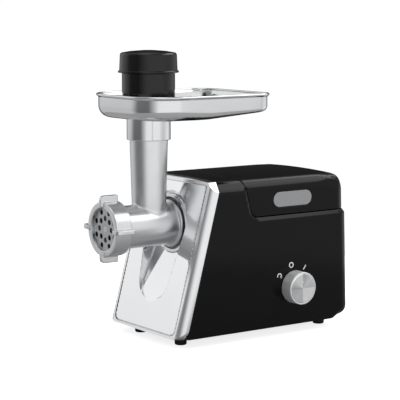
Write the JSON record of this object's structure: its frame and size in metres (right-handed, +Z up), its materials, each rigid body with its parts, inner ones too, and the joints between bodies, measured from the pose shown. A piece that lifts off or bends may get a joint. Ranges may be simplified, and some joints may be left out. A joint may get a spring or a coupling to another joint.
{
  "type": "electric meat grinder",
  "caption": "Electric meat grinder: sloped black housing with knob, cast grinding head, feed tube, steel tray and pusher.",
  "frame": {"origin": "middle of the overall box in plan, on the table under the feet", "axes": "+Z up, -Y towards the grinding head's outlet, +Y to the rear wall, +X to the side with the control knob"},
  "size_m": [0.1712, 0.321, 0.344],
  "materials": {
    "gloss_black": "high-gloss black moulded plastic",
    "piano_black": "polished black moulded plastic",
    "matte_black": "fine-textured black plastic",
    "satin_metal": "satin silver bezel",
    "mirror_metal": "mirror-polished metal face",
    "cast_aluminium": "polished cast aluminium",
    "polished_steel": "fine-brushed stainless steel",
    "plate_steel": "ground tool steel",
    "knob_metal": "blasted aluminium knob",
    "spun_aluminium": "spun aluminium disc",
    "grip_grey": "grey inlay",
    "foot_rubber": "black rubber",
    "zinc_steel": "zinc-plated screws",
    "die_cast": "die-cast gearbox alloy",
    "bronze": "sintered bronze bush",
    "steel_shaft": "ground steel shaft",
    "nylon": "natural nylon",
    "laminated_steel": "laminated core steel",
    "enamelled_copper": "enamelled copper winding",
    "brass": "pressed brass",
    "carbon": "carbon brush",
    "board_green": "circuit board",
    "capacitor_yellow": "film capacitor"
  },
  "bodies": {
    "housing": {"base_plate": "matte_black", "main_shell": "gloss_black", "front_bezel": "satin_metal", "front_panel": "mirror_metal", "socket_ring": "mirror_metal", "release_spring": "steel_shaft", "storage_tray": "matte_black", "rotary_switch": "matte_black", "control_board": "board_green", "filter_capacitor": "capacitor_yellow", "cord_gland": "matte_black", "foot_front_right": "foot_rubber", "foot_front_left": "foot_rubber", "foot_rear_right": "foot_rubber", "foot_rear_left": "foot_rubber", "foot_screws": "zinc_steel", "housing_screws": "zinc_steel", "gearbox_housing": "die_cast", "gearbox_cover": "die_cast", "gearbox_screws": "zinc_steel", "hub_bearing": "bronze", "hub_seal": "foot_rubber", "first_axle": "steel_shaft", "second_axle": "steel_shaft", "stator_core": "laminated_steel", "field_coils": "enamelled_copper", "front_bearing": "steel_shaft", "rear_bearing": "steel_shaft", "motor_bracket": "zinc_steel", "brush_holders": "brass", "carbon_brushes": "carbon", "motor_bolts": "zinc_steel", "motor_cushion": "foot_rubber"},
    "storage_cover": {"storage_cover": "gloss_black", "grip_plate_right": "grip_grey", "grip_plate_left": "grip_grey"},
    "release_button": {"release_button": "matte_black"},
    "control_knob": {"control_knob": "knob_metal", "knob_disc": "spun_aluminium", "switch_shaft": "brass"},
    "rotor": {"motor_shaft": "steel_shaft", "rotor_core": "laminated_steel", "commutator": "enamelled_copper", "cooling_fan": "nylon"},
    "first_gear": {"first_gear": "nylon"},
    "second_gear": {"second_gear": "steel_shaft"},
    "hub": {"output_gear": "steel_shaft", "drive_hub": "steel_shaft"},
    "head": {"head_casting": "cast_aluminium", "rear_bush": "nylon", "grinding_plate": "plate_steel"},
    "auger": {"auger": "cast_aluminium", "auger_shaft": "steel_shaft", "blade_stud": "steel_shaft", "cutting_blade": "polished_steel"},
    "ring_nut": {"ring_nut": "cast_aluminium"},
    "tray": {"feed_tray": "polished_steel", "tray_collar": "polished_steel"},
    "pusher": {"pusher": "piano_black"},
    "pusher_cap": {"pusher_cap": "piano_black"}
  },
  "joints": [
    {"name": "rotor_spin", "type": "hinge", "parent": "housing", "child": "rotor", "pos_m": [-0.00865, 0.0425, 0.072], "axis": [0, 1, 0], "continuous": true},
    {"name": "first_gear_spin", "type": "hinge", "parent": "housing", "child": "first_gear", "pos_m": [0.01548, -0.0125, 0.09225], "axis": [0, 1, 0], "continuous": true},
    {"name": "second_gear_spin", "type": "hinge", "parent": "housing", "child": "second_gear", "pos_m": [-0.01955, -0.0275, 0.10055], "axis": [0, 1, 0], "continuous": true},
    {"name": "hub_spin", "type": "hinge", "parent": "housing", "child": "hub", "pos_m": [-0.00865, -0.0425, 0.138], "axis": [0, 1, 0], "continuous": true},
    {"name": "auger_spin", "type": "hinge", "parent": "head", "child": "auger", "pos_m": [-0.00865, -0.1075, 0.138], "axis": [0, 1, 0], "continuous": true},
    {"name": "head_release", "type": "slide", "parent": "housing", "child": "head", "axis": [0, -1, 0], "range_m": [0, 0.06]},
    {"name": "nut_turn", "type": "hinge", "parent": "head", "child": "ring_nut", "pos_m": [-0.00865, -0.1475, 0.138], "axis": [0, -1, 0], "range_deg": [0, 540]},
    {"name": "tray_lift", "type": "slide", "parent": "head", "child": "tray", "axis": [0, 0, 1], "range_m": [0, 0.07]},
    {"name": "pusher_slide", "type": "slide", "parent": "tray", "child": "pusher", "axis": [0, 0, 1], "range_m": [0, 0.12]},
    {"name": "cap_lift", "type": "slide", "parent": "pusher", "child": "pusher_cap", "axis": [0, 0, 1], "range_m": [0, 0.04]},
    {"name": "knob_turn", "type": "hinge", "parent": "housing", "child": "control_knob", "pos_m": [0.06835, 0.066, 0.059], "axis": [1, 0, 0], "range_deg": [-45, 45]},
    {"name": "button_press", "type": "slide", "parent": "housing", "child": "release_button", "axis": [0, 1, 0], "range_m": [0, 0.004], "stiffness_N_per_m": 700, "springref_m": -0.003},
    {"name": "cover_lift", "type": "slide", "parent": "housing", "child": "storage_cover", "axis": [0, 0, 1], "range_m": [0, 0.06]}
  ],
  "couplings": [
    {"joint": "first_gear_spin", "follows": "rotor_spin", "ratio": -0.16667},
    {"joint": "second_gear_spin", "follows": "rotor_spin", "ratio": 0.041667},
    {"joint": "hub_spin", "follows": "rotor_spin", "ratio": -0.013889},
    {"joint": "auger_spin", "follows": "rotor_spin", "ratio": -0.013889}
  ]
}
